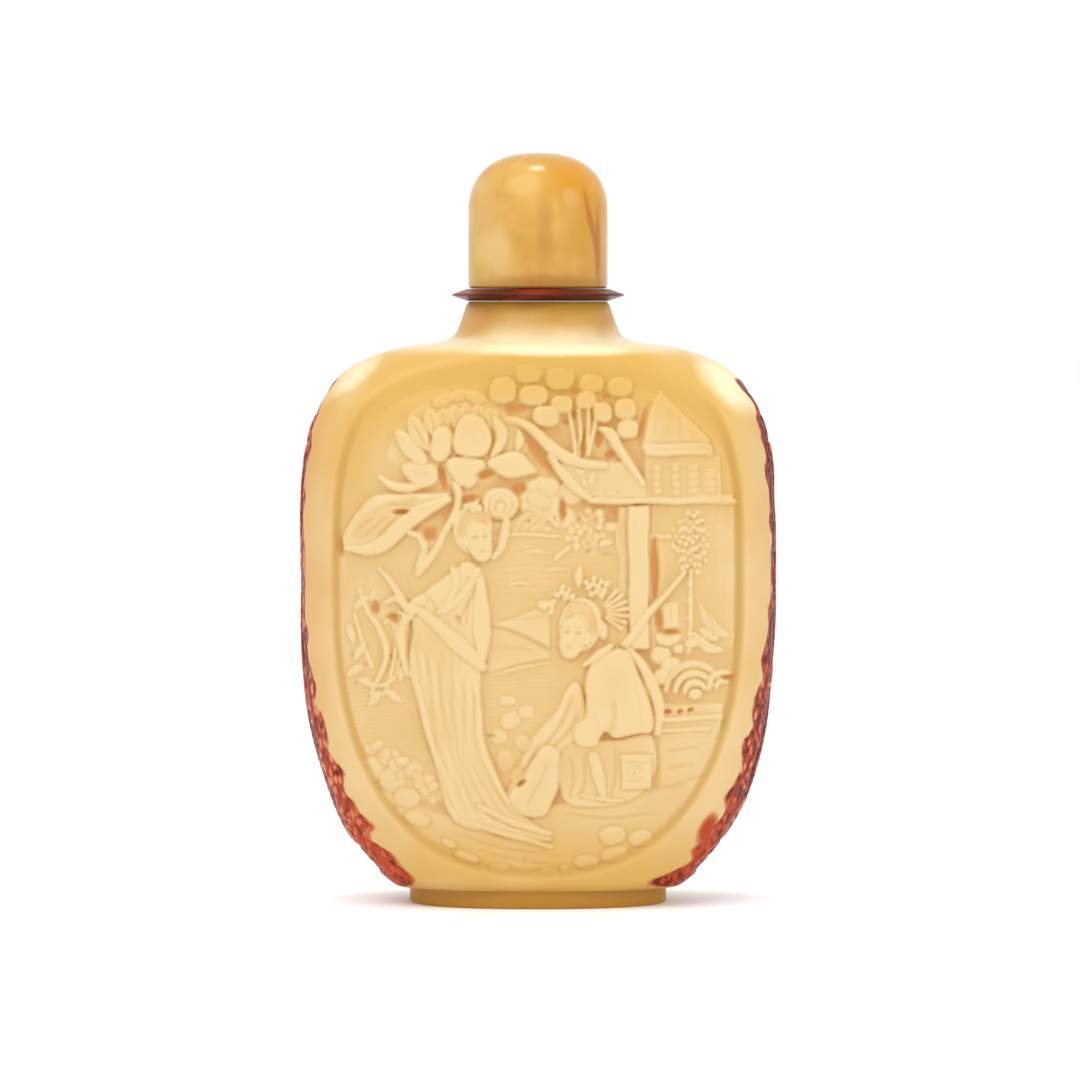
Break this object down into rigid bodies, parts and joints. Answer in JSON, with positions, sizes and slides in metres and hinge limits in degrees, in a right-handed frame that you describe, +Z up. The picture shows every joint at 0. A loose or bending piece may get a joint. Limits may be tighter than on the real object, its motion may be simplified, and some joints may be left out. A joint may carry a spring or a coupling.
{
  "type": "snuff bottle",
  "caption": "Flattened hollow snuff bottle with panels carved in relief front and back, carved narrow sides, an oval foot, a short neck and a lift-off domed stopper.",
  "frame": {"origin": "middle of the foot's flat underside", "axes": "+Z up along the bottle's axis, -Y towards the front panel, +X to the right seen from the front"},
  "size_m": [0.0478, 0.0201, 0.0751],
  "materials": {
    "horn": "carved honey-yellow horn with a waxy polish, red on the narrow sides",
    "stopper_horn": "turned and polished amber horn, slightly streaked",
    "red_horn": "polished dark red horn",
    "cork": "plain cork"
  },
  "bodies": {
    "root": {"bottle": "horn", "stopper_dome": "stopper_horn", "stopper_collar": "red_horn", "stopper_cork": "cork"}
  },
  "joints": []
}
